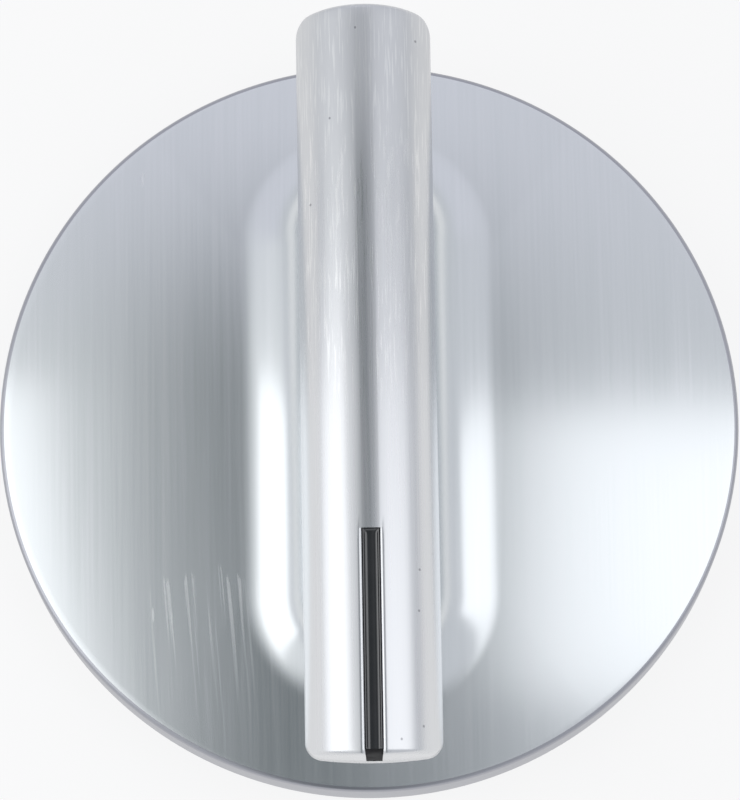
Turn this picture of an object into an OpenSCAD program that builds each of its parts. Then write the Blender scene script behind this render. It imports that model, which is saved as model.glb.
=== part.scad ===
// Stove knob: a domed cast dial with a half-round bar grip on a flared pedestal.
// The knob lies on its back rim at z = 0, with the valve stem's axis on Z.
// The bar runs along Y, with its indicator at the -Y end. Millimetres.

/* [Dial] */
// Diameter of the dial
dial_d = 60; // [56:0.5:68]
// Height of the dial's straight edge wall
edge_h = 4.4; // [4:0.1:6]
// Rise of the dome from the edge to the middle
dome_rise = 3; // [2.4:0.1:4]
// Rounding between the edge wall and the dome
edge_round = 0.45; // [0.2:0.05:0.8]
// Thickness of the casting under the dome
shell_t = 2; // [1.5:0.1:2.4]
// Thickness of the edge wall
skirt_t = 1.9; // [1.4:0.1:3]

/* [Pedestal] */
// Width of the pedestal's neck
neck_w = 8.8; // [8.2:0.1:9.4]
// Length of the pedestal's neck
neck_l = 38.2; // [32:0.2:42]
// Radius of the fillet from the neck to the dome
flare_r = 6.2; // [5:0.1:8]
// Length of the cored pocket inside the pedestal
core_l = 12; // [8:0.5:14]

/* [Bar] */
// Width of the half-round bar
bar_w = 10.65; // [10:0.05:12]
// Height of the bar's straight sides below its round top
side_h = 0.3; // [0.2:0.05:1.5]
// Rounding of the bar's lower edges
foot_r = 0.2; // [0.1:0.05:0.2]
// Length of the bar
bar_l = 59.2; // [50:0.2:59.8]
// Radius of the bar's crowned ends, seen from above
crown_r = 15; // [10:0.5:30]
// Rounding of the corners beside the crown
corner_r = 1; // [0.6:0.1:2]
// Height of the bar's top above the back rim
grip_h = 24.75; // [23:0.25:28]

/* [Indicator] */
// Width of the indicator slot
slot_w = 1.4; // [1.2:0.1:2.4]
// Length of the slot from the bar's end
slot_l = 17.5; // [12:0.5:18.5]
// Depth of the slot
slot_depth = 2.2; // [1.4:0.1:2.2]
// Bevel on the slot's long edges
slot_bevel = 0.2; // [0.1:0.05:0.35]
// Depth of the strip's face below the bar's surface
strip_recess = 0.3; // [0.15:0.05:0.5]

/* [Stem hub] */
// Diameter of the valve stem
stem_d = 6; // [5.8:0.1:6.2]
// Width of the stem across its flat
stem_flat = 4.6; // [4.4:0.1:5]
// Depth of the stem hole from the hub's mouth
stem_depth = 13; // [11:0.5:14]
// Length of the hub
hub_l = 6.8; // [6.6:0.1:7.3]
// Diameter of the hub
hub_d = 10.5; // [10:0.1:11]
// Length of the full-round pilot at the hub's mouth
pilot_l = 2.8; // [2:0.1:3.2]
// Diameter of the hub's flange
flange_d = 16; // [14.4:0.2:17]
// Thickness of the hub's flange
flange_t = 2; // [1.6:0.1:2.2]
// Width of the ears' rim round the screw heads
ear_rim = 1.3; // [1:0.1:1.8]
// Width of the web between the ears
web_w = 6.8; // [5:0.2:7.4]
// Width of the casting's pad round the hub's flange
pad_rim = 1.2; // [0.8:0.1:2]
// Depth of the hub's mouth behind the rim plane
hub_inset = 0.4; // [0.2:0.1:0.8]

/* [Screws] */
// Diameter of the screws
screw_d = 3; // [2.5:0.1:3.5]
// Depth of the screws in the bar
screw_bite = 3.2; // [2.4:0.1:3.2]
// Distance between the two screws
screw_pitch = 20; // [19:0.5:23]
// Diameter of the screw heads
head_d = 5.4; // [4.8:0.1:6]
// Height of the screw heads
head_h = 1.7; // [1.4:0.1:2]
// Depth of the screw heads behind the rim plane
head_inset = 0.3; // [0.1:0.1:0.6]
// Length of the driver's cross in the heads
cross_l = 2.7; // [2:0.1:3.4]
// Width of the driver's cross
cross_w = 0.8; // [0.5:0.1:1]
// Depth of the driver's cross
cross_depth = 0.9; // [0.5:0.1:1.1]

/* [Spring clip] */
// Thickness of the spring leaf
clip_t = 0.4; // [0.3:0.05:0.5]
// Width of the spring leaf
clip_w = 3.2; // [2.6:0.1:3.6]
// Length of the spring leaf
clip_l = 3.2; // [2.8:0.1:3.3]
// Bow of the spring leaf
clip_bow = 0.5; // [0.35:0.05:0.6]
// Reach of the leaf past the socket's flat
clip_reach = 0.15; // [0.05:0.05:0.3]

/* [Clearances] */
// Radial clearance of the stem in the socket
stem_gap = 0.05; // [0.05:0.05:0.2]
// Extra radius of the pilot at the socket's mouth
pilot_gap = 0.2; // [0.2:0.05:0.4]
// Clearance of the stem's tip in the cored pocket
tip_gap = 0.25; // [0.1:0.05:0.4]
// Clearance between the bar's underside and the neck
seat_gap = 0.05; // [0.02:0.01:0.1]
// Clearance of the hub in its recess
hub_gap = 0.1; // [0.05:0.05:0.2]
// Clearance of the strip at the slot's walls
strip_gap = 0.04; // [0.02:0.01:0.1]
// Clearance of the screws in the hub and the casting
screw_gap = 0.2; // [0.1:0.05:0.3]
// Depth of the drilled holes past the screws' tips
drill_gap = 0.5; // [0.3:0.1:1]
// Clearance of the spring leaf in its pocket
clip_gap = 0.04; // [0.02:0.01:0.1]
// Height of the pocket's floor above the pilot
pocket_gap = 0.2; // [0.1:0.05:0.4]

/* [Hidden] */
$fn = 96;
eps = 0.01;

dial_r = dial_d / 2;
dome_r = (dial_r * dial_r + dome_rise * dome_rise) / (2 * dome_rise);
dome_z = edge_h + dome_rise - dome_r;

bar_r = bar_w / 2;
bar_z = grip_h - bar_r;
bar_base = bar_z - side_h;

neck_r = neck_w / 2;
neck_c = neck_l / 2 - neck_r;
neck_top = bar_base - seat_gap;

stem_r = stem_d / 2 + stem_gap;
flat_y = stem_flat - stem_d / 2 + stem_gap;
pilot_r = stem_r + pilot_gap;
core_w = stem_d + 2 * tip_gap;
hub_r = hub_d / 2;
hub_top = hub_inset + hub_l;
recess_r = hub_r + hub_gap;

head_top = head_inset + head_h;
seat_z = head_top + flange_t;
ear_r = head_d / 2 + ear_rim;
screw_tip = bar_base + screw_bite;

// How far the flare's fillet sinks below the dome, so that the two surfaces cross
flare_sink = 0.03;
// Steps of the flare along a straight side, round half an end and down the fillet
side_steps = 8;
end_steps = 10;
fillet_steps = 9;

pocket_floor = flat_y - clip_reach + clip_t + clip_bow;
pocket_z = hub_inset + pilot_l + pocket_gap;
clip_z = (pocket_z + hub_top) / 2;

// Points of the neck's outline: the place on its spine that each belongs to, and its outward angle.
// The right half runs from the -Y tip to the +Y tip, and the left half mirrors it on the way back.
end_step = 90 / (end_steps + 0.5);
right_stations = concat(
    [for (i = [end_steps:-1:0]) [-neck_c, -end_step * i]],
    [for (i = [1:side_steps - 1]) [-neck_c + 2 * neck_c * i / side_steps, 0]],
    [for (i = [0:end_steps]) [neck_c, end_step * i]]
);
left_stations = [for (i = [len(right_stations) - 1:-1:0]) [right_stations[i][0], 180 - right_stations[i][1]]];
neck_stations = concat(right_stations, left_stations);

function outward(station) = [cos(station[1]), sin(station[1]), 0];

// Middle of the ball that rolls between the neck's wall and the dome
function ball_xy(station) = [0, station[0], 0] + (neck_r + flare_r) * outward(station);
function ball(station) = let (p = ball_xy(station), reach = dome_r + flare_r - flare_sink)
    [p[0], p[1], dome_z + sqrt(reach * reach - p * p)];

// Point of the fillet at a share of its arc: 0 on the dome and 1 on the neck's wall
function fillet_point(station, share) = let (
        middle = ball(station),
        to_dome = ([0, 0, dome_z] - middle) / norm([0, 0, dome_z] - middle),
        to_wall = -outward(station),
        sweep = acos(to_dome * to_wall)
    ) middle + flare_r * (sin((1 - share) * sweep) * to_dome + sin(share * sweep) * to_wall) / sin(sweep);

function at_height(point, z) = [point[0], point[1], z];

// Section of the bar: half-round top, short straight sides and a flat underside, moved in by inset
module bar_section(inset) {
    r = bar_r - inset;
    intersection() {
        circle(r);
        translate([-r, 0])
            square([2 * r, r]);
    }
    translate([-r, foot_r - side_h])
        square([2 * r, side_h - foot_r]);
    translate([foot_r - r, -side_h])
        square([2 * (r - foot_r), side_h]);
    for (side = [-1, 1])
        translate([side * (r - foot_r), foot_r - side_h])
            circle(foot_r);
}

// Outline of the bar from above: straight sides, rounded corners and crowned ends, moved in by inset
module bar_outline(inset) {
    r = bar_r - inset;
    crown = crown_r - inset;
    corner = corner_r - inset;
    crown_y = bar_l / 2 - crown_r;
    corner_x = r - corner;
    corner_y = crown_y + sqrt(pow(crown - corner, 2) - corner_x * corner_x);
    meet_x = corner_x * crown / (crown - corner);
    square([2 * r, 2 * corner_y], center = true);
    for (turn = [0, 180])
        rotate(turn) {
            intersection() {
                translate([0, crown_y])
                    circle(crown);
                translate([-meet_x, 0])
                    square([2 * meet_x, bar_l / 2]);
            }
            for (side = [-1, 1])
                translate([side * corner_x, corner_y])
                    circle(corner);
        }
}

// Solid of the bar along Y, moved in from its surface by inset
module bar_blank(inset) {
    intersection() {
        translate([0, bar_l, bar_z])
            rotate([90, 0, 0])
                linear_extrude(2 * bar_l)
                    bar_section(inset);
        linear_extrude(2 * grip_h)
            bar_outline(inset);
    }
}

// Slot of the indicator through the bar's -Y end, cut wider by grow
module slot_cut(grow) {
    half = slot_w / 2 + grow;
    closed_y = slot_l - bar_l / 2 + grow;
    floor_z = grip_h - slot_depth - grow;
    translate([-half, -bar_l, floor_z])
        cube([2 * half, bar_l + closed_y, bar_w]);
}

// Bevel at 45 degrees on the slot's two long edges
module slot_bevels() {
    half = slot_w / 2;
    rise = bar_r;
    wall_top_z = bar_z + sqrt(bar_r * bar_r - half * half) - slot_bevel;
    translate([0, slot_l - bar_l / 2, wall_top_z])
        rotate([90, 0, 0])
            linear_extrude(bar_l)
                polygon([[-half, 0], [half, 0], [half + rise, rise], [-half - rise, rise]]);
}

// Outer form of the dial, under the dome and inside the edge wall
module dial_blank() {
    corner_x = dial_r - edge_round;
    corner_z = dome_z + sqrt(pow(dome_r - edge_round, 2) - corner_x * corner_x);
    meet_x = corner_x * dome_r / (dome_r - edge_round);
    rotate_extrude() {
        intersection() {
            translate([0, dome_z])
                circle(dome_r, $fn = 720);
            square([meet_x, edge_h + dome_rise + 1]);
        }
        square([dial_r, corner_z]);
        intersection() {
            translate([corner_x, corner_z])
                circle(edge_round);
            translate([corner_x, 0])
                square([edge_round, edge_h + dome_rise]);
        }
    }
}

// Outline of the hub's flange and ears, wider by grow
module flange_outline(grow) {
    circle(flange_d / 2 + grow);
    square([web_w + 2 * grow, screw_pitch], center = true);
    for (side = [-1, 1])
        translate([0, side * screw_pitch / 2])
            circle(ear_r + grow);
}

// Hollow of the dial's back, round the pad that the hub sits on
module dial_hollow() {
    difference() {
        rotate_extrude()
            intersection() {
                translate([0, dome_z])
                    circle(dome_r - shell_t, $fn = 720);
                translate([0, -1])
                    square([dial_r - skirt_t, edge_h + dome_rise + 1]);
            }
        translate([0, 0, seat_z])
            linear_extrude(edge_h + dome_rise)
                flange_outline(pad_rim);
    }
}

// Oblong neck with the rolling-ball fillet that spreads it into the dome
module flared_neck() {
    count = len(neck_stations);
    fillet = [for (k = [0:fillet_steps]) [for (s = neck_stations) fillet_point(s, k / fillet_steps)]];
    base = [for (p = fillet[0]) at_height(p, seat_z)];
    top = [for (p = fillet[fillet_steps]) at_height(p, neck_top)];
    rings = concat([base], fillet, [top]);
    last = len(rings) - 1;
    lower = [for (k = [0:last - 1], i = [0:count - 1])
        [k * count + i, (k + 1) * count + (i + 1) % count, k * count + (i + 1) % count]];
    upper = [for (k = [0:last - 1], i = [0:count - 1])
        [k * count + i, (k + 1) * count + i, (k + 1) * count + (i + 1) % count]];
    base_cap = [for (i = [0:count / 2 - 2]) [i, i + 1, count - 2 - i, count - 1 - i]];
    top_cap = [for (quad = base_cap) [for (k = [3:-1:0]) last * count + quad[k]]];
    polyhedron([for (ring = rings, p = ring) p], concat(lower, upper, base_cap, top_cap));
}

module at_screws() {
    for (side = [-1, 1])
        translate([0, side * screw_pitch / 2, 0])
            children();
}

// Cast dial with its edge wall, hollow back and flared pedestal
module dial_body() {
    color("silver")
        difference() {
            union() {
                dial_blank();
                flared_neck();
            }
            dial_hollow();
            translate([0, 0, -1])
                cylinder(r = recess_r, h = hub_top + hub_gap + 1);
            translate([-core_w / 2, -core_l / 2, hub_top])
                cube([core_w, core_l, hub_inset + stem_depth - hub_top]);
            at_screws()
                cylinder(r = screw_d / 2 + screw_gap, h = grip_h);
        }
}

// Half-round bar with the indicator slot and the two screw holes in its flat underside
module grip_bar() {
    color("gainsboro")
        difference() {
            bar_blank(0);
            slot_cut(0);
            slot_bevels();
            at_screws()
                cylinder(d = screw_d, h = screw_tip + drill_gap);
        }
}

// Black strip that fills the slot and follows the bar's round top and crowned end
module indicator_strip() {
    color([0.03, 0.03, 0.035])
        intersection() {
            slot_cut(-strip_gap);
            bar_blank(strip_recess);
        }
}

// Moulded hub with the D socket, the spring's pocket and two screw ears
module stem_hub() {
    color([0.1, 0.1, 0.1])
        difference() {
            union() {
                translate([0, 0, hub_inset])
                    cylinder(r = hub_r, h = hub_l);
                translate([0, 0, seat_z - flange_t])
                    linear_extrude(flange_t)
                        flange_outline(0);
            }
            translate([0, 0, hub_inset - eps])
                cylinder(r = pilot_r, h = pilot_l + eps);
            intersection() {
                cylinder(r = stem_r, h = hub_top + 1);
                translate([-stem_d, -stem_d, 0])
                    cube([2 * stem_d, stem_d + flat_y, hub_top + 1]);
            }
            translate([-clip_w / 2 - clip_gap, 0, pocket_z])
                cube([clip_w + 2 * clip_gap, pocket_floor, hub_l]);
            at_screws()
                cylinder(r = screw_d / 2 + screw_gap, h = hub_top);
        }
}

// Bowed steel leaf that bears on the stem's flat
module spring_clip() {
    bow_r = (clip_l * clip_l / 4 + clip_bow * clip_bow) / (2 * clip_bow);
    crown_y = flat_y - clip_reach;
    color("slategray")
        translate([-clip_w / 2, 0, clip_z])
            rotate([90, 0, 90])
                linear_extrude(clip_w)
                    intersection() {
                        translate([crown_y + bow_r, 0])
                            difference() {
                                circle(bow_r);
                                circle(bow_r - clip_t);
                            }
                        translate([crown_y - eps, -clip_l / 2])
                            square([pocket_floor - crown_y + eps, clip_l]);
                    }
}

// Two pan-head screws through the hub's ears and the pedestal into the bar
module clamp_screws() {
    color("darkgray")
        at_screws() {
            difference() {
                translate([0, 0, head_inset])
                    cylinder(d = head_d, h = head_h);
                for (turn = [0, 90])
                    rotate([0, 0, turn])
                        translate([-cross_l / 2, -cross_w / 2, 0])
                            cube([cross_l, cross_w, head_inset + cross_depth]);
            }
            translate([0, 0, head_top])
                cylinder(d = screw_d, h = screw_tip - head_top);
        }
}

dial_body();
grip_bar();
indicator_strip();
stem_hub();
spring_clip();
clamp_screws();
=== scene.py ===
import math

import bmesh
import bpy
from mathutils import Matrix, Vector


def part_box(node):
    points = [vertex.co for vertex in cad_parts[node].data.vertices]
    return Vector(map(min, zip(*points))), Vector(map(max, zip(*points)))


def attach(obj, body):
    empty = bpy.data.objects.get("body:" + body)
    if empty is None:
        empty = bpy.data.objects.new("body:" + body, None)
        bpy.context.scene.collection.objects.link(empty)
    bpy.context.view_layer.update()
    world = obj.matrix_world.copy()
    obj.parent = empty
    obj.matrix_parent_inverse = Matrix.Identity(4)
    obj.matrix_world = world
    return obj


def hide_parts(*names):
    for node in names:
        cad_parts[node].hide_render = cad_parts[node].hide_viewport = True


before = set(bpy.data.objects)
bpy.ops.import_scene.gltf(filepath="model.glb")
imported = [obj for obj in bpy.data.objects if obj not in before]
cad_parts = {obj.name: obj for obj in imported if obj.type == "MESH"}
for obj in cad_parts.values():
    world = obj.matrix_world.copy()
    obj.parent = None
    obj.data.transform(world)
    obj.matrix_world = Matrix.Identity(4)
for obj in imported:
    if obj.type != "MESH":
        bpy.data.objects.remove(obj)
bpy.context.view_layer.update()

# Stove knob: a domed, brushed dial with a flared pedestal, a half-round bar grip across it, and a black
# indicator line in one end of the bar. +Z points out of the face, and the indicator's end lies at -Y.
# Sizes are in millimetres, and every mesh is scaled to metres when it is made.
MM = 0.001

# The dial, its edge and its hollow back
EDGE_H = 4.4
DOME_RISE = 3.0
EDGE_ROUND = 0.45
SHELL_T = 2.0
SKIRT_T = 1.9
RIM_BREAK = 0.15

# The pedestal's neck and the rolling-ball fillet at its foot
NECK_W = 8.8
NECK_L = 38.2
FLARE_R = 6.2

# The pad, recess and cored pocket behind the hub
SEAT_Z = 4.0
PAD_R = 9.2
PAD_EAR_R = 5.2
PAD_EAR_Y = 10.0
RECESS_R = 5.35
RECESS_TOP = 7.3
CORE_W = 6.5
CORE_L = 12.0
CORE_TOP = 13.4
CORE_RIM = 0.35

# The bar's crowned ends and its edges, and the half length over which its rows run straight across
CROWN_R = 32.0
CORNER_R = 1.4
TOP_EDGE_R = 0.4
FOOT_R = 0.2
BAR_STRAIGHT = 27.0

# The indicator slot and its rolled lips
SLOT_W = 1.4
SLOT_L = 17.5
SLOT_DEPTH = 4.2
SLOT_LIP_R = 0.35
SLOT_LIP_TILT = math.radians(52)
SLOT_DRAFT = 0.04

# The black fill: its recess, how it climbs the slot's walls, and how it rolls down at the open end
FILL_GAP = 0.02
FILL_RECESS = 0.36
FILL_CLIMB = 0.24
FILL_CREEP = 0.17
FILL_ROLL = 3.7
FILL_ROLL_L = 0.45
FILL_CLIMB_FADE = 4

# Steps along the curves of the meshes
NECK_SIDE_STEPS = 80
NECK_END_STEPS = 48
FILLET_STEPS = 28
DOME_STEPS = 30
EDGE_STEPS = 8
SHELL_STEPS = 12
BAR_COLUMNS = 44
BAR_EDGE_STEPS = 5
SLOT_ROWS = 16
PLAIN_ROWS = 36
FOOT_STEPS = 4
LIP_STEPS = 4
FILL_COLUMNS = 24
FILL_ROWS = 70

# Places of the rows between two edges, as shares of the way
NECK_WALL_SHARES = (0.35, 0.7)
BAR_END_SHARES = (0.0, 0.33, 0.66)

# Share of a wall's height that the brush map adds outwards, so that upright walls have a width on it
WALL_SHARE = 0.5

# Angles from which edges are sharp
SHARP_DEG = 28
FILL_SHARP_DEG = 50

# Tolerances: places taken as one in millimetres, points merged in metres, and the least divisor
SAME_MM = 1e-6
MERGE_M = 1e-7
LEAST = 1e-9

# Sizes taken from the solids
bar_low, bar_high = (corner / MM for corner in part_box("grip_bar"))
_, dial_high = (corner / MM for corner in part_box("dial_body"))
BAR_R = (bar_high.x - bar_low.x) / 2
BAR_HALF = (bar_high.y - bar_low.y) / 2
BAR_TOP = bar_high.z
BAR_Z = BAR_TOP - BAR_R
BAR_BASE = bar_low.z
SLOT_END = SLOT_L - BAR_HALF
DIAL_R = dial_high.x
NECK_TOP = dial_high.z

# The dome's ball, the middle of the edge's rounding and the tilt at which the two meet
DOME_R = (DIAL_R ** 2 + DOME_RISE ** 2) / (2 * DOME_RISE)
DOME_Z = EDGE_H + DOME_RISE - DOME_R
EDGE_MID_R = DIAL_R - EDGE_ROUND
EDGE_TILT = math.asin(EDGE_MID_R / (DOME_R - EDGE_ROUND))
NECK_R = NECK_W / 2
NECK_C = NECK_L / 2 - NECK_R


def arc(count, first, last):
    """Evenly spaced values from first to last, both included."""
    return [first + (last - first) * i / count for i in range(count + 1)]


def finished_mesh(name, bm, materials, sharp_deg):
    """Object from a bmesh, with its edges sharp from an angle and its materials."""
    mesh = bpy.data.meshes.new(name)
    bm.to_mesh(mesh)
    bm.free()
    mesh.set_sharp_from_angle(angle=math.radians(sharp_deg))
    for material in materials:
        mesh.materials.append(material)
    piece = bpy.data.objects.new(name, mesh)
    bpy.context.scene.collection.objects.link(piece)
    return piece


def mesh_from_rings(name, rings, materials, material_of, uv_of, sharp_deg):
    """Closed skin through rings of equal length. Points that fall together are merged."""
    bm = bmesh.new()
    uv_layer = bm.loops.layers.uv.new("brush")
    grid = [[bm.verts.new(Vector(p) * MM) for p in ring] for ring in rings]
    count = len(rings[0])
    for k in range(len(rings) - 1):
        for j in range(count):
            corners = [(k, j), (k, j + 1), (k + 1, j + 1), (k + 1, j)]
            face = bm.faces.new([grid[row][column % count] for row, column in corners])
            face.material_index = material_of(k)
            face.smooth = True
            for loop, (row, column) in zip(face.loops, corners):
                loop[uv_layer].uv = uv_of(row, column)
    bmesh.ops.remove_doubles(bm, verts=bm.verts, dist=MERGE_M)
    bmesh.ops.recalc_face_normals(bm, faces=bm.faces)
    return finished_mesh(name, bm, materials, sharp_deg)


# Dial body

def neck_stations():
    """Foot of each section on the neck's spine, and its outward direction."""
    stations = []
    for end in (1, -1):
        for y in arc(NECK_SIDE_STEPS, -end * NECK_C, end * NECK_C)[:-1]:
            stations.append((y, Vector((end, 0, 0))))
        for turn in arc(NECK_END_STEPS, 0, math.pi)[:-1]:
            outward = Vector((end * math.cos(turn), end * math.sin(turn), 0))
            stations.append((end * NECK_C, outward))
    return stations


def dome_height(radius, inset=0.0):
    """Height of the dome, or of a dome inset from it, at a distance from the axis."""
    return DOME_Z + math.sqrt((DOME_R - inset) ** 2 - radius ** 2)


def fillet_arc(station):
    """Points of the fillet from the neck's wall to the dome, on a ball that touches both."""
    y, outward = station
    flat = Vector((0, y, 0)) + (NECK_R + FLARE_R) * outward
    ball_z = DOME_Z + math.sqrt((DOME_R + FLARE_R) ** 2 - flat.length_squared)
    ball = Vector((flat.x, flat.y, ball_z))
    to_dome = (Vector((0, 0, DOME_Z)) - ball).normalized()
    to_wall = -outward
    return [ball + FLARE_R * to_wall.slerp(to_dome, share) for share in arc(FILLET_STEPS, 0, 1)]


def pad_radius(angle):
    """Reach of the pad's outline from the middle: a round pad with an ear at each screw."""
    off_axis = abs(math.cos(angle)) * PAD_EAR_Y
    if off_axis >= PAD_EAR_R:
        return PAD_R
    along = abs(math.sin(angle)) * PAD_EAR_Y
    return max(PAD_R, along + math.sqrt(PAD_EAR_R ** 2 - off_axis ** 2))


def box_radius(angle, half_x, half_y):
    """Reach of a rectangle's outline from the middle."""
    to_side = half_x / max(abs(math.cos(angle)), LEAST)
    to_end = half_y / max(abs(math.sin(angle)), LEAST)
    return min(to_side, to_end)


def ring_point(angle, radius, z):
    return (radius * math.cos(angle), radius * math.sin(angle), z)


def face_points(station):
    """Section over the neck, down the fillet and out over the dome, and its angle round the axis."""
    y, outward = station
    points = []
    for reach in (0, NECK_R / 2, NECK_R):
        points.append((outward.x * reach, y + outward.y * reach, NECK_TOP))
    fillet = fillet_arc(station)
    wall_x, wall_y, _ = points[-1]
    for share in NECK_WALL_SHARES:
        points.append((wall_x, wall_y, NECK_TOP + (fillet[0].z - NECK_TOP) * share))
    points += [tuple(p) for p in fillet]
    foot = fillet[-1]
    angle = math.atan2(foot.y, foot.x)
    foot_r = math.hypot(foot.x, foot.y)
    meet_r = DOME_R * math.sin(EDGE_TILT)
    for radius in arc(DOME_STEPS, foot_r, meet_r)[1:]:
        points.append(ring_point(angle, radius, dome_height(radius)))
    return points, angle


def edge_points(angle):
    """Section round the dial's edge and down its wall to the back rim."""
    middle_z = dome_height(EDGE_MID_R, EDGE_ROUND)
    points = []
    for tilt in arc(EDGE_STEPS, EDGE_TILT, math.pi / 2)[1:]:
        radius = EDGE_MID_R + EDGE_ROUND * math.sin(tilt)
        points.append(ring_point(angle, radius, middle_z + EDGE_ROUND * math.cos(tilt)))
    points.append(ring_point(angle, DIAL_R, RIM_BREAK))
    points.append(ring_point(angle, DIAL_R - RIM_BREAK, 0))
    return points


def back_points(angle):
    """Section inside the hollow back, from the rim over the pad and its recess into the cored pocket."""
    skirt_r = DIAL_R - SKIRT_T
    pad_r = pad_radius(angle)
    core_r = min(RECESS_R - CORE_RIM, box_radius(angle, CORE_W / 2, CORE_L / 2))
    points = [ring_point(angle, skirt_r, 0)]
    for radius in arc(SHELL_STEPS, skirt_r, pad_r):
        points.append(ring_point(angle, radius, dome_height(radius, SHELL_T)))
    steps = [(pad_r, SEAT_Z), (RECESS_R, SEAT_Z), (RECESS_R, RECESS_TOP)]
    steps += [(core_r, RECESS_TOP), (core_r, CORE_TOP), (0, CORE_TOP)]
    for radius, z in steps:
        points.append(ring_point(angle, radius, z))
    return points


def make_dial(brushed, edge_with_painted_shade, cast):
    """Casting, skinned through a section at each station round the neck."""
    stations = neck_stations()
    sections = []
    for station in stations:
        face, angle = face_points(station)
        edge = edge_points(angle)
        sections.append(face + edge + back_points(angle))
    face_rings = len(face)
    outer_rings = len(face) + len(edge)
    rings = [list(ring) for ring in zip(*sections)]

    # Rings of the edge and its wall take the edge material, whose darker colour is painted shade.
    def material_of(k):
        if k < face_rings - 1:
            return 0
        return 1 if k < outer_rings - 1 else 2

    def uv_of(k, j):
        x, y, z = rings[k][j % len(stations)]
        _, outward = stations[j % len(stations)]
        drop = WALL_SHARE * (NECK_TOP - z)
        return ((x + drop * outward.x) / DIAL_R, (y + drop * outward.y) / DIAL_R)

    return mesh_from_rings("dial", rings, [brushed, edge_with_painted_shade, cast], material_of, uv_of, SHARP_DEG)


# Bar

def bar_end(x):
    """Edge line of the crowned end inside its rounding: how far along the bar, and the wall's normal."""
    crown = CROWN_R - TOP_EDGE_R
    crown_y = BAR_HALF - CROWN_R
    corner = CORNER_R - TOP_EDGE_R
    corner_x = BAR_R - CORNER_R
    corner_y = crown_y + math.sqrt((CROWN_R - CORNER_R) ** 2 - corner_x ** 2)
    if abs(x) <= corner_x * crown / (CROWN_R - CORNER_R):
        y = crown_y + math.sqrt(crown ** 2 - x ** 2)
        return y, Vector((x, y - crown_y, 0)) / crown
    over = abs(x) - corner_x
    y = corner_y + math.sqrt(max(0.0, corner ** 2 - over ** 2))
    return y, Vector((math.copysign(over, x), y - corner_y, 0)) / corner


def slot_lip():
    """Lip from the slot's wall to the bar's top: each point's distance from the middle, and its drop."""
    half = SLOT_W / 2
    reach = half
    # The lip's outer end and the tilt of the bar's top there depend on each other and settle quickly.
    for _ in range(8):
        top_tilt = math.asin(reach / BAR_R)
        reach = half + SLOT_LIP_R * (math.sin(SLOT_LIP_TILT) - math.sin(top_tilt))
    lip = []
    for tilt in arc(LIP_STEPS, SLOT_LIP_TILT, top_tilt):
        x = reach - SLOT_LIP_R * (math.sin(tilt) - math.sin(top_tilt))
        z = math.sqrt(BAR_R ** 2 - reach ** 2) - SLOT_LIP_R * (math.cos(top_tilt) - math.cos(tilt))
        lip.append((x, math.sqrt(BAR_R ** 2 - x ** 2) - z))
    return lip


def slot_height(x, z, lip):
    """Height of the bar's top, cut down to the slot where there is one."""
    if abs(x) < SLOT_W / 2 - SAME_MM:
        return BAR_TOP - SLOT_DEPTH
    for lip_x, drop in lip:
        if abs(abs(x) - lip_x) < SAME_MM:
            return z - drop
    return z


def bar_columns(lip):
    """Turn of each column from straight up, with columns along the slot's walls and lips."""
    slot_xs = [0.0, SLOT_W / 2 - SLOT_DRAFT] + [x for x, _ in lip]
    slot_turns = [math.asin(x / BAR_R) for x in slot_xs]
    right = slot_turns + arc(BAR_COLUMNS, slot_turns[-1], math.pi / 2)[1:]
    return [-turn for turn in reversed(right[1:])] + right


def make_bar(material):
    """Bar from rows across its round top, with the slot cut into the rows of one end."""
    lip = slot_lip()
    columns = bar_columns(lip)
    inner_r = BAR_R - TOP_EDGE_R
    ends = [bar_end(inner_r * math.sin(turn)) for turn in columns]

    def across(ys):
        """Row on the round top, with one place along the bar for each column."""
        row = []
        for turn, y in zip(columns, ys):
            row.append((BAR_R * math.sin(turn), y, BAR_Z + BAR_R * math.cos(turn)))
        return row

    def straight(y):
        return across([y] * len(columns))

    def towards_end(end, share):
        """Row between the straight stretch, share 0, and an end's edge, share 1."""
        return across([end * (BAR_STRAIGHT + share * (y - BAR_STRAIGHT)) for y, _ in ends])

    def rounded(end, share):
        """Row on an end's rounding, from the top, share 0, to the end wall, share 1."""
        lean = share * math.pi / 2
        row = []
        for turn, (y, wall) in zip(columns, ends):
            edge = Vector((inner_r * math.sin(turn), end * y, BAR_Z + inner_r * math.cos(turn)))
            top = Vector((math.sin(turn), 0, math.cos(turn)))
            outward = Vector((wall.x, end * wall.y, 0))
            normal = math.sin(lean) * outward + math.cos(lean) * top
            row.append(tuple(edge + TOP_EDGE_R * normal.normalized()))
        return row

    def slotted(row):
        """The same row, cut down where the slot runs."""
        cut = []
        for turn, (x, y, z) in zip(columns, row):
            cut.append((x, y, slot_height(BAR_R * math.sin(turn), z, lip)))
        return cut

    near = [rounded(-1, share) for share in arc(BAR_EDGE_STEPS, 1, 0)]
    near += [towards_end(-1, share) for share in reversed(BAR_END_SHARES)]
    near += [straight(y) for y in arc(SLOT_ROWS, -BAR_STRAIGHT, SLOT_END)[1:]]
    far = [straight(y) for y in arc(PLAIN_ROWS, SLOT_END, BAR_STRAIGHT)]
    far += [towards_end(1, share) for share in BAR_END_SHARES[1:]]
    far += [rounded(1, share) for share in arc(BAR_EDGE_STEPS, 0, 1)]
    return bar_mesh([slotted(row) for row in near] + far, material)


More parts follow.
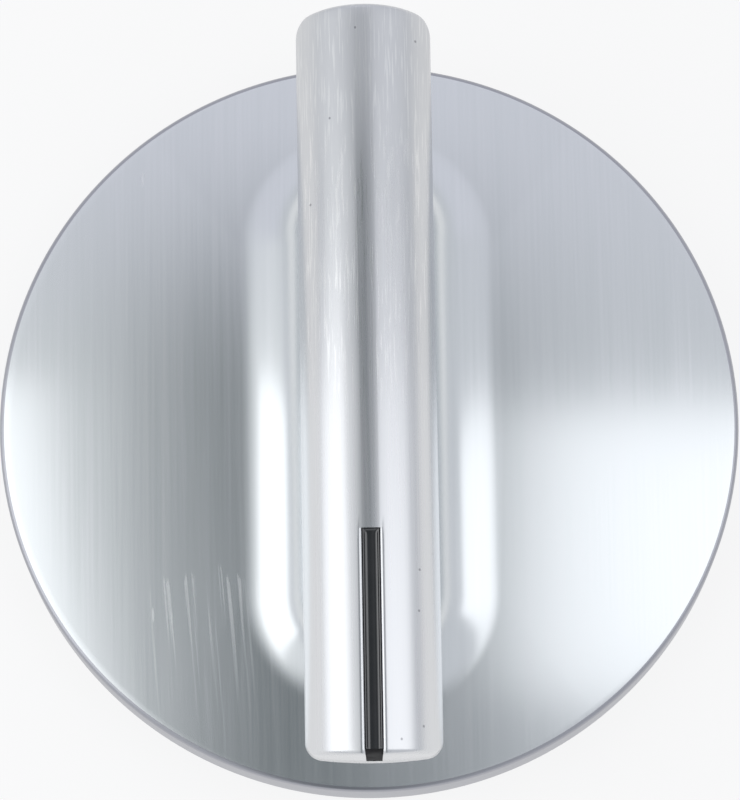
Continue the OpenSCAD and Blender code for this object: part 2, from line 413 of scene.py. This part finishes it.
def bar_mesh(rows, material):
    """Bar from its top rows: walls down from their border, a rounded foot and a flat underside."""
    bm = bmesh.new()
    uv_layer = bm.loops.layers.uv.new("brush")
    grid = [[bm.verts.new(Vector(p) * MM) for p in row] for row in rows]
    last = len(rows[0]) - 1
    border = list(grid[0]) + [row[last] for row in grid[1:-1]] + list(reversed(grid[-1]))
    border += [row[0] for row in reversed(grid[1:-1])]
    quads = []
    for k in range(len(grid) - 1):
        for j in range(last):
            quads.append((grid[k][j], grid[k][j + 1], grid[k + 1][j + 1], grid[k + 1][j]))
    count = len(border)
    outline = [vertex.co / MM for vertex in border]
    outward = []
    for i in range(count):
        along = outline[(i + 1) % count] - outline[i - 1]
        outward.append(Vector((along.y, -along.x, 0)).normalized())
    loop = border
    for lean in arc(FOOT_STEPS, 0, math.pi / 2):
        inset = FOOT_R * (1 - math.cos(lean))
        z = BAR_BASE + FOOT_R * (1 - math.sin(lean))
        lower = []
        for point, away in zip(outline, outward):
            foot = Vector((point.x - inset * away.x, point.y - inset * away.y, z))
            lower.append(bm.verts.new(foot * MM))
        for i in range(count):
            quads.append((loop[i], loop[(i + 1) % count], lower[(i + 1) % count], lower[i]))
        loop = lower
    for quad in quads:
        bm.faces.new(quad).smooth = True
    bm.faces.new(loop)
    bmesh.ops.remove_doubles(bm, verts=bm.verts, dist=MERGE_M)
    bmesh.ops.recalc_face_normals(bm, faces=bm.faces)
    # Under the bar's axis the map goes on as at a hair above it.
    least_rise = 1e-3
    for face in bm.faces:
        for corner in face.loops:
            place = corner.vert.co / MM
            turn = math.atan2(place.x, max(place.z - BAR_Z, least_rise))
            corner[uv_layer].uv = (turn * BAR_R / BAR_HALF, place.y / BAR_HALF)
    return finished_mesh("bar", bm, [material], SHARP_DEG)


def make_fill(gloss, matt):
    """Black fill of the slot, with edges that climb the slot's walls as a poured enamel does."""
    half = SLOT_W / 2 - SLOT_DRAFT - FILL_GAP
    floor_z = BAR_TOP - SLOT_DEPTH + FILL_GAP
    closed_y = SLOT_END - FILL_GAP
    open_y = -BAR_HALF + 2 * FILL_GAP
    across = [half * math.sin(turn) for turn in arc(FILL_COLUMNS, -math.pi / 2, math.pi / 2)]

    def top_z(x, y):
        from_end = max(0.0, 1 - (y - open_y) / FILL_ROLL_L)
        roll = 1 - math.sqrt(1 - min(from_end, 1.0) ** 2)
        climb_side = math.exp(-((half - abs(x)) / FILL_CREEP) ** 2) * (1 - roll) ** FILL_CLIMB_FADE
        climb_end = math.exp(-((closed_y - y) / FILL_CREEP) ** 2)
        recess = FILL_RECESS - FILL_CLIMB * max(climb_side, climb_end) + FILL_ROLL * roll
        return BAR_Z + math.sqrt(BAR_R ** 2 - x ** 2) - recess

    rings = []
    for turn in arc(FILL_ROWS, 0, math.pi):
        y = closed_y + (open_y - closed_y) * (1 - math.cos(turn)) / 2
        top = [(x, y, top_z(x, y)) for x in across]
        base = [(x, y, floor_z) for x in reversed(across)]
        rings.append(top + base)
    count = len(rings[0])
    closing = [[(0, ring[0][1], floor_z + FILL_GAP)] * count for ring in (rings[0], rings[-1])]
    rings = [closing[0]] + rings + [closing[1]]

    def uv_of(k, j):
        point = rings[k][j % count]
        return (point[0] / BAR_HALF, point[1] / BAR_HALF)

    def material_of(k):
        return 1 if rings[k][0][1] < open_y + FILL_ROLL_L else 0

    return mesh_from_rings("indicator", rings, [gloss, matt], material_of, uv_of, FILL_SHARP_DEG)


# Nodes of the materials

# Most of a noise lies in the first range, and most of a weighted sum of noises in the second
NOISE_RANGE = (0.3, 0.7)
TONE_RANGE = (0.2, 0.8)

# Where a spot's edge fades, as shares of its half widths
SPOT_EDGE = (1.2, 0.6)


def add(tree, kind, inputs=None, **settings):
    """New node with its settings, and its inputs set to values or linked to sockets."""
    node = tree.nodes.new(kind)
    for key, value in settings.items():
        setattr(node, key, value)
    for key, value in (inputs or {}).items():
        if isinstance(value, bpy.types.NodeSocket):
            tree.links.new(value, node.inputs[key])
        else:
            node.inputs[key].default_value = value
    return node


def math_node(tree, operation, first, second):
    return add(tree, "ShaderNodeMath", {0: first, 1: second}, operation=operation).outputs[0]


def times(tree, first, second):
    return math_node(tree, "MULTIPLY", first, second)


def weighted(tree, *pairs):
    """Sum of values, each times its weight."""
    total = times(tree, *pairs[0])
    for value, weight in pairs[1:]:
        total = math_node(tree, "ADD", total, times(tree, value, weight))
    return total


def ramp(tree, value, span, to=(0.0, 1.0)):
    """Smooth step of a value over a span, from one result to another."""
    inputs = {"Value": value, "From Min": span[0], "From Max": span[1], "To Min": to[0], "To Max": to[1]}
    return add(tree, "ShaderNodeMapRange", inputs, interpolation_type="SMOOTHSTEP").outputs["Result"]


def blend(tree, share, first, second):
    node = add(tree, "ShaderNodeMix", {"Factor": share, "A": first, "B": second}, data_type="RGBA")
    return node.outputs["Result"]


def noise(tree, place, per_metre, detail=2, stretch=(1, 1, 1), turn_deg=0.0):
    """Noise at so many features per metre, turned about Z, with each axis stretched by its own share."""
    rotation = (0, 0, math.radians(turn_deg))
    turned = add(tree, "ShaderNodeMapping", {"Vector": place, "Rotation": rotation})
    mapped = add(tree, "ShaderNodeMapping", {"Vector": turned.outputs["Vector"], "Scale": stretch})
    inputs = {"Vector": mapped.outputs["Vector"], "Scale": per_metre, "Detail": detail}
    return add(tree, "ShaderNodeTexNoise", inputs).outputs["Fac"]


def spots(tree, place, middles_mm, half_x_mm, half_y_mm):
    """Mask of oval spots seen from above, 1 inside and 0 outside."""
    scale = (1 / (half_x_mm * MM), 1 / (half_y_mm * MM), 0)
    mask = 0.0
    for x, y in middles_mm:
        inputs = {"Vector": place, "Location": (-x / half_x_mm, -y / half_y_mm, 0), "Scale": scale}
        mapped = add(tree, "ShaderNodeMapping", inputs).outputs["Vector"]
        distance = add(tree, "ShaderNodeVectorMath", {0: mapped}, operation="LENGTH").outputs["Value"]
        mask = math_node(tree, "MAXIMUM", ramp(tree, distance, SPOT_EDGE), mask)
    return mask


def band(tree, value, limits_mm, soft_mm):
    """Mask that is 1 between two places and fades out past them."""
    low, high = limits_mm
    rising = ramp(tree, value, ((low - soft_mm) * MM, low * MM))
    falling = ramp(tree, value, ((high + soft_mm) * MM, high * MM))
    return times(tree, rising, falling)


def new_material(name, **sockets):
    """Material whose shader has some sockets set, with its tree, shader and object coordinates."""
    material = bpy.data.materials.new(name)
    material.use_nodes = True
    tree = material.node_tree
    shader = tree.nodes["Principled BSDF"]
    for key, value in sockets.items():
        shader.inputs[key.replace("_", " ")].default_value = value
    place = add(tree, "ShaderNodeTexCoord").outputs["Object"]
    return material, tree, shader, place


def link_surface(tree, shader, colour, rough, height, bump_strength, bump_mm):
    """Link a colour, a roughness and a bump's height to the shader."""
    inputs = {"Height": height, "Strength": bump_strength, "Distance": bump_mm * MM}
    bump = add(tree, "ShaderNodeBump", inputs)
    tree.links.new(colour, shader.inputs["Base Color"])
    tree.links.new(rough, shader.inputs["Roughness"])
    tree.links.new(bump.outputs["Normal"], shader.inputs["Normal"])


def grained(name, grain, patch, dark, light, rough, bump_strength, bump_mm, **sockets):
    """Material with a grain in its roughness and bump, and patches of a darker and a lighter colour."""
    material, tree, shader, place = new_material(name, **sockets)
    fine = noise(tree, place, *grain)
    broad = noise(tree, place, *patch)
    colour = blend(tree, broad, dark, light)
    roughness = ramp(tree, fine, NOISE_RANGE, rough)
    link_surface(tree, shader, colour, roughness, fine, bump_strength, bump_mm)
    return material


# Metals of the dial

# Stretch of the brush marks along Y. On the dial they are stretched along Z too, so that its dome doesn't
# cut them short.
DIAL_BRUSH = (1.0, 0.012, 0.05)
DIAL_BRUSH_COARSE = (1.0, 0.03, 0.05)
DIAL_BRUSH_WIDE = (1.0, 0.05, 0.05)

# Face of the dial, and the bare metal of its scratches
DIAL_DARK = (0.665, 0.70, 0.71, 1)
DIAL_LIGHT = (0.80, 0.815, 0.835, 1)
DIAL_BARE = (0.90, 0.91, 0.91, 1)
DIAL_ROUGH = (0.18, 0.24)
DIAL_PATCH_SHARE = 0.3
DIAL_PATCHY_RANGE = (TONE_RANGE[0], TONE_RANGE[1] + DIAL_PATCH_SHARE)

# Scratched patch near the dial's edge, with its fan of lines, in millimetres and degrees
SCRATCHED_X = (-16.5, -9.5)
SCRATCHED_SOFT = 2.5
SCRATCH_TOP = -9.5
SCRATCH_TAIL = -25.0
SCRATCH_HEAD = 0.6
SCRATCH_RAGGED = 7.0
SCRATCH_TURN = -4
SCRATCH_LINES = (0.53, 0.67)
SCRATCH_SHARE = 0.34

# Short nicks in the face, in millimetres
NICKS = [(-17.6, -15.6), (-16.1, -15.9), (-18.2, 20.6)]
NICK_HALF_W = 0.08
NICK_HALF_L = 0.65
NICK_SHARE = 0.4

# Roughness that a scratch or nick adds
WORN_ROUGH = 0.25


def scratches(tree, place):
    """Mask of the scratched patch, whose lines start at a ragged edge and run out towards -Y."""
    axes = add(tree, "ShaderNodeSeparateXYZ", {0: place}).outputs
    ragged = noise(tree, place, 1200, stretch=(1.0, 0.0, 0.0), turn_deg=SCRATCH_TURN)
    start = math_node(tree, "ADD", axes["Y"], times(tree, ragged, SCRATCH_RAGGED * MM))
    tail = ramp(tree, start, (SCRATCH_TAIL * MM, SCRATCH_TOP * MM))
    head = ramp(tree, start, ((SCRATCH_TOP + SCRATCH_HEAD) * MM, SCRATCH_TOP * MM))
    sides = band(tree, axes["X"], SCRATCHED_X, SCRATCHED_SOFT)
    zone = times(tree, sides, times(tree, tail, head))
    marks = noise(tree, place, 3600, stretch=DIAL_BRUSH, turn_deg=SCRATCH_TURN)
    return times(tree, times(tree, zone, ramp(tree, marks, SCRATCH_LINES)), SCRATCH_SHARE)


def brushed_dial():
    """Face of the dial: straight brushing in three widths, scratches and nicks."""
    material, tree, shader, place = new_material("dial_brushed", Metallic=1.0, Anisotropic=0.5)
    fine = noise(tree, place, 4500, stretch=DIAL_BRUSH)
    broad = noise(tree, place, 900, stretch=DIAL_BRUSH_COARSE)
    wide = noise(tree, place, 220, detail=3, stretch=DIAL_BRUSH_WIDE)
    patch = noise(tree, place, 60)
    tone = weighted(tree, (fine, 0.45), (broad, 0.3), (wide, 0.25))
    patchy = weighted(tree, (tone, 1.0), (patch, DIAL_PATCH_SHARE))
    nicks = times(tree, spots(tree, place, NICKS, NICK_HALF_W, NICK_HALF_L), NICK_SHARE)
    worn = math_node(tree, "MAXIMUM", scratches(tree, place), nicks)
    colour = blend(tree, worn, blend(tree, tone, DIAL_DARK, DIAL_LIGHT), DIAL_BARE)
    smooth = ramp(tree, patchy, DIAL_PATCHY_RANGE, DIAL_ROUGH)
    rough = weighted(tree, (smooth, 1.0), (worn, WORN_ROUGH))
    tangent = add(tree, "ShaderNodeTangent", direction_type="UV_MAP", uv_map="brush")
    tree.links.new(tangent.outputs["Tangent"], shader.inputs["Tangent"])
    link_surface(tree, shader, colour, rough, tone, bump_strength=0.05, bump_mm=0.01)
    return material


def painted_shade_edge_metal():
    """Edge rounding and wall, turned round the axis and rougher than the face, with painted shade: the
    colour is darker to stand in for the shadowed floor that the wall reflects.
    """
    material, tree, shader, place = new_material("dial_edge_painted_shade", Metallic=1.0)
    turned = noise(tree, place, 3000, stretch=(0.03, 0.03, 1.0))
    patch = noise(tree, place, 90)
    tone = weighted(tree, (turned, 0.6), (patch, 0.4))
    # Dark colours: painted shade for the shadowed floor under the rim, which the edge reflects.
    colour = blend(tree, tone, (0.37, 0.375, 0.41, 1), (0.47, 0.475, 0.51, 1))
    rough = ramp(tree, tone, TONE_RANGE, (0.30, 0.40))
    link_surface(tree, shader, colour, rough, turned, bump_strength=0.06, bump_mm=0.01)
    return material


def cast_metal():
    """Skin of the casting inside the hollow back."""
    return grained(
        "dial_cast",
        grain=(2500, 3),
        patch=(120, 2),
        dark=(0.58, 0.595, 0.61, 1),
        light=(0.66, 0.67, 0.68, 1),
        rough=(0.34, 0.46),
        bump_strength=0.12,
        bump_mm=0.02,
        Metallic=1.0,
    )


# Metal of the bar

# Stretch of the satin's marks, and of the shorter lines that wear has left
BAR_BRUSH = (1.0, 0.012, 1.0)
WORN_BRUSH = (1.0, 0.05, 1.0)

BAR_DARK = (0.66, 0.67, 0.69, 1)
BAR_LIGHT = (0.75, 0.757, 0.765, 1)
BAR_ROUGH = (0.25, 0.31)

# Stretch towards the bar's far end: darker metal, with bright broken lines of wear
WORN_Y = (5, 26)
WORN_SOFT = 10
WORN_LINES = (0.52, 0.66)
DULL_METAL = (0.50, 0.51, 0.53, 1)
DULL_SHARE = 0.3
LINE_METAL = (0.84, 0.845, 0.84, 1)
LINE_SHARE = 0.5
LINE_ROUGH = -0.07

# Stretch over which the bar grows rougher towards its far end
FAR_Y = (13, 27)
FAR_ROUGH = 0.16

# Small pits in the bar, in millimetres
PITS = [
    (-0.6, 27.6), (4.1, 26.9), (-2.7, 20.5), (-4.3, 13.9),
    (3.7, -15.2), (3.6, -18.4), (3.8, -27.3), (2.1, -28.4),
]
PIT_HALF_W = 0.09
PIT_HALF_L = 0.11
PIT_METAL = (0.12, 0.12, 0.14, 1)
PIT_SHARE = 0.55


def satin_bar():
    """Bar: fine satin along its length, a stretch towards its far end that is darker and carries broken
    lines, and small pits.
    """
    material, tree, shader, place = new_material("bar_satin", Metallic=1.0)
    fine = noise(tree, place, 4500, stretch=BAR_BRUSH)
    broad = noise(tree, place, 700, stretch=BAR_BRUSH)
    tone = weighted(tree, (fine, 0.5), (broad, 0.5))
    along = add(tree, "ShaderNodeSeparateXYZ", {0: place}).outputs["Y"]
    broken = ramp(tree, noise(tree, place, 6000, detail=3, stretch=WORN_BRUSH), WORN_LINES)
    dull = band(tree, along, WORN_Y, WORN_SOFT)
    worn = times(tree, broken, dull)
    pits = spots(tree, place, PITS, PIT_HALF_W, PIT_HALF_L)
    colour = blend(tree, tone, BAR_DARK, BAR_LIGHT)
    # Colour darker over the stretch towards the far end
    colour = blend(tree, times(tree, dull, DULL_SHARE), colour, DULL_METAL)
    colour = blend(tree, times(tree, worn, LINE_SHARE), colour, LINE_METAL)
    colour = blend(tree, times(tree, pits, PIT_SHARE), colour, PIT_METAL)
    smooth = ramp(tree, tone, TONE_RANGE, BAR_ROUGH)
    far = ramp(tree, along, (FAR_Y[0] * MM, FAR_Y[1] * MM))
    rough = weighted(tree, (smooth, 1.0), (far, FAR_ROUGH), (worn, LINE_ROUGH))
    height = weighted(tree, (tone, 0.5), (worn, -0.6), (pits, -2.0))
    link_surface(tree, shader, colour, rough, height, bump_strength=0.2, bump_mm=0.01)
    return material


# Fill, hub, clip and screws

def black_enamel():
    """Gloss black fill of the slot."""
    return grained(
        "enamel_black",
        grain=(700, 2),
        patch=(700, 2),
        dark=(0.010, 0.011, 0.012, 1),
        light=(0.018, 0.018, 0.020, 1),
        rough=(0.08, 0.14),
        bump_strength=0.02,
        bump_mm=0.01,
        Coat_Weight=1.0,
        Coat_Roughness=0.05,
        Coat_IOR=1.7,
    )


def black_matt():
    """Fill at the slot's open end, where the enamel runs out thin and dull."""
    return grained(
        "enamel_end",
        grain=(900, 2),
        patch=(900, 2),
        dark=(0.012, 0.012, 0.013, 1),
        light=(0.020, 0.020, 0.021, 1),
        rough=(0.55, 0.7),
        bump_strength=0.05,
        bump_mm=0.01,
        Specular_IOR_Level=0.1,
    )


def moulded_plastic():
    return grained(
        "hub_moulded",
        grain=(5000, 3),
        patch=(150, 2),
        dark=(0.030, 0.030, 0.031, 1),
        light=(0.048, 0.047, 0.046, 1),
        rough=(0.45, 0.6),
        bump_strength=0.15,
        bump_mm=0.02,
    )


def plain_steel(name, dark, light, rough):
    return grained(
        name,
        grain=(3000, 3),
        patch=(400, 2),
        dark=dark,
        light=light,
        rough=rough,
        bump_strength=0.08,
        bump_mm=0.01,
        Metallic=1.0,
    )


def spring_steel():
    return plain_steel("steel_spring", (0.40, 0.40, 0.42, 1), (0.52, 0.52, 0.54, 1), (0.25, 0.35))


def plated_steel():
    return plain_steel("steel_plated", (0.50, 0.51, 0.53, 1), (0.60, 0.60, 0.60, 1), (0.28, 0.4))


def finish_node(node, material):
    """Give a solid that stays as it is its material."""
    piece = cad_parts[node]
    piece.data.materials.clear()
    piece.data.materials.append(material)


# Pieces

dial = make_dial(brushed_dial(), painted_shade_edge_metal(), cast_metal())
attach(dial, "root")
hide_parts("dial_body")

bar = make_bar(satin_bar())
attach(bar, "root")
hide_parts("grip_bar")

indicator = make_fill(black_enamel(), black_matt())
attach(indicator, "root")
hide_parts("indicator_strip")

finish_node("stem_hub", moulded_plastic())
finish_node("spring_clip", spring_steel())
finish_node("clamp_screws", plated_steel())


# Studio, in metres

FLOOR_HALF = 3.0
FLOOR_PAPER = (0.86, 0.86, 0.87, 1)
FLOOR_WHITE = (1, 1, 1, 1)
# Share of plain white that the camera and reflections see in the floor. The rest takes light and shadow.
FLOOR_WHITE_SHARE = 0.84

# Colours of the room, and the spans of a direction's X, Y or Z over which each takes over
ROOM_DARK = (0.16, 0.18, 0.19, 1)
ROOM_LEFT = (0.90, 0.92, 0.94, 1)
ROOM_RIGHT = (0.68, 0.70, 0.74, 1)
ROOM_WALL = (0.76, 0.77, 0.84, 1)
ROOM_HORIZON = (0.66, 0.68, 0.72, 1)
LEFT_SPAN = (-0.105, -0.49)
RIGHT_SPAN = (-0.05, 0.30)
WALL_SPAN = (0.235, 0.565)
ABOVE_HORIZON_SPAN = (0.1, 0.40)

# Softboxes, by the angles to the side and to the back between which the knob's middle sees them
KNOB_MIDDLE = Vector((0, 0, 0.012))
LEFT_BOX = {"sides_deg": (-82, -35.5), "depths_deg": (-33, 14.5), "distance": 0.10, "radiance": 0.70}
RIGHT_BOX = {"sides_deg": (12, 66), "depths_deg": (-15.5, 12), "distance": 0.30, "radiance": 0.72}


def make_floor():
    """Pale paper that shows almost white and keeps the knob's shadow."""
    bm = bmesh.new()
    bmesh.ops.create_grid(bm, x_segments=1, y_segments=1, size=FLOOR_HALF)
    mesh = bpy.data.meshes.new("floor")
    bm.to_mesh(mesh)
    bm.free()
    material = bpy.data.materials.new("floor_paper")
    material.use_nodes = True
    tree = material.node_tree
    tree.nodes.remove(tree.nodes["Principled BSDF"])
    path = add(tree, "ShaderNodeLightPath").outputs
    seen = math_node(tree, "MAXIMUM", path["Is Camera Ray"], path["Is Glossy Ray"])
    seen = math_node(tree, "MAXIMUM", seen, path["Is Transmission Ray"])
    paper = add(tree, "ShaderNodeBsdfDiffuse", {"Color": FLOOR_PAPER}).outputs[0]
    white = add(tree, "ShaderNodeEmission", {"Color": FLOOR_WHITE, "Strength": 1.0}).outputs[0]
    share = times(tree, seen, FLOOR_WHITE_SHARE)
    mixed = add(tree, "ShaderNodeMixShader", {0: share, 1: paper, 2: white})
    tree.links.new(mixed.outputs[0], tree.nodes["Material Output"].inputs["Surface"])
    mesh.materials.append(material)
    floor = bpy.data.objects.new("floor", mesh)
    bpy.context.scene.collection.objects.link(floor)


def make_world():
    """Grey room, dark overhead, brighter to the left and right, at the wall behind and at the horizon."""
    world = bpy.data.worlds.new("studio")
    world.use_nodes = True
    bpy.context.scene.world = world
    tree = world.node_tree
    direction = add(tree, "ShaderNodeTexCoord").outputs["Generated"]
    axes = add(tree, "ShaderNodeSeparateXYZ", {0: direction}).outputs
    left = blend(tree, ramp(tree, axes["X"], LEFT_SPAN), ROOM_DARK, ROOM_LEFT)
    sides = blend(tree, ramp(tree, axes["X"], RIGHT_SPAN), left, ROOM_RIGHT)
    wall = blend(tree, ramp(tree, axes["Y"], WALL_SPAN), sides, ROOM_WALL)
    colour = blend(tree, ramp(tree, axes["Z"], ABOVE_HORIZON_SPAN), ROOM_HORIZON, wall)
    tree.links.new(colour, tree.nodes["Background"].inputs["Color"])
    tree.nodes["Background"].inputs["Strength"].default_value = 1.0


def softbox(name, sides_deg, depths_deg, distance, radiance):
    """Rectangular light that faces the knob, with an even brightness over its face."""
    side = math.radians(sum(sides_deg) / 2)
    depth = math.radians(sum(depths_deg) / 2)
    flat = math.cos(depth)
    towards = Vector((math.sin(side) * flat, math.sin(depth), math.cos(side) * flat))
    place = KNOB_MIDDLE + distance * towards
    light = bpy.data.lights.new(name, "AREA")
    light.shape = "RECTANGLE"
    light.size = 2 * distance * math.tan(math.radians(depths_deg[1] - depths_deg[0]) / 2)
    light.size_y = 2 * distance * math.tan(math.radians(sides_deg[1] - sides_deg[0]) / 2)
    light.energy = radiance * math.pi * light.size * light.size_y
    lamp = bpy.data.objects.new(name, light)
    lamp.visible_camera = False
    facing = (place - KNOB_MIDDLE).to_track_quat("Z", "Y").to_matrix().to_4x4()
    lamp.matrix_world = Matrix.Translation(place) @ facing
    bpy.context.scene.collection.objects.link(lamp)


make_floor()
make_world()
softbox("left_box", **LEFT_BOX)
softbox("right_box", **RIGHT_BOX)


# Camera, fitted to the photograph's frame of 740 by 800 pixels, with its distance in millimetres

FRAME_W, FRAME_H = 740, 800
TILT = math.radians(11.16)
ROLL = 0.016
DISTANCE = 400.0
FOCAL_PX = 4929.0
DIAL_MID_PX = (369.1, 423.8)
SENSOR_W = 36.0
CLIP_START_M = 0.01


def make_camera():
    """Camera above the knob, tilted towards the indicator's end and aimed at the dial's edge plane."""
    target = Vector((0, 0, EDGE_H))
    back = Vector((0, -math.sin(TILT), math.cos(TILT)))
    up = Vector((0, math.cos(TILT), math.sin(TILT)))
    right = Vector((1, 0, 0))
    rolled_right = math.cos(ROLL) * right - math.sin(ROLL) * up
    rolled_up = math.sin(ROLL) * right + math.cos(ROLL) * up
    rotation = Matrix((rolled_right, rolled_up, back)).transposed().to_4x4()
    data = bpy.data.cameras.new("camera")
    data.sensor_fit = "AUTO"
    data.sensor_width = SENSOR_W
    data.lens = FOCAL_PX * SENSOR_W / FRAME_H
    data.shift_x = (FRAME_W / 2 - DIAL_MID_PX[0]) / FRAME_H
    data.shift_y = (DIAL_MID_PX[1] - FRAME_H / 2) / FRAME_H
    data.clip_start = CLIP_START_M
    camera = bpy.data.objects.new("camera", data)
    camera.matrix_world = Matrix.Translation((target + back * DISTANCE) * MM) @ rotation
    bpy.context.scene.collection.objects.link(camera)
    bpy.context.scene.camera = camera


make_camera()
bpy.context.scene.view_settings.view_transform = "Standard"
